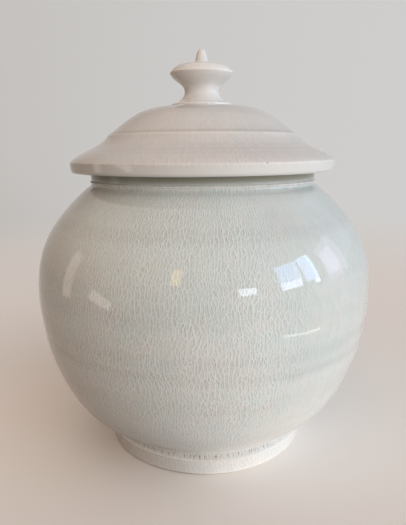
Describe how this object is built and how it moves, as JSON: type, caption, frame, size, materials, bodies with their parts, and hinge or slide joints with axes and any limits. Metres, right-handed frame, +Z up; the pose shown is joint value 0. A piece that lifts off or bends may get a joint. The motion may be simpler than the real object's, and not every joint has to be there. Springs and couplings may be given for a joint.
{
  "type": "lidded jar",
  "caption": "Round wheel-thrown stoneware jar on a turned foot ring, with a domed overhanging lid and a waisted pointed knob, in pale crackled celadon glaze.",
  "frame": {"origin": "centre of the circle that the foot ring stands on, at table height", "axes": "+Z up along the jar's axis; the jar is round, so +X and +Y are free"},
  "size_m": [0.2214, 0.2214, 0.26],
  "materials": {
    "body_glaze": "glossy pale grey-green celadon with a fine crackle",
    "foot_glaze": "glossy pale celadon, thick in the cove, bare clay on the standing edge",
    "lid_glaze": "glossy warm grey-white glaze with a faint fine crackle",
    "bare_clay": "matt bare stoneware, pinkish buff"
  },
  "bodies": {
    "jar": {"jar_body": "body_glaze", "foot_ring": "foot_glaze"},
    "lid": {"lid_dome": "lid_glaze", "lid_flange": "bare_clay", "knob": "lid_glaze"}
  },
  "joints": [
    {"name": "lid_lift", "type": "slide", "parent": "jar", "child": "lid", "axis": [0, 0, 1], "range_m": [0, 0.1]}
  ]
}
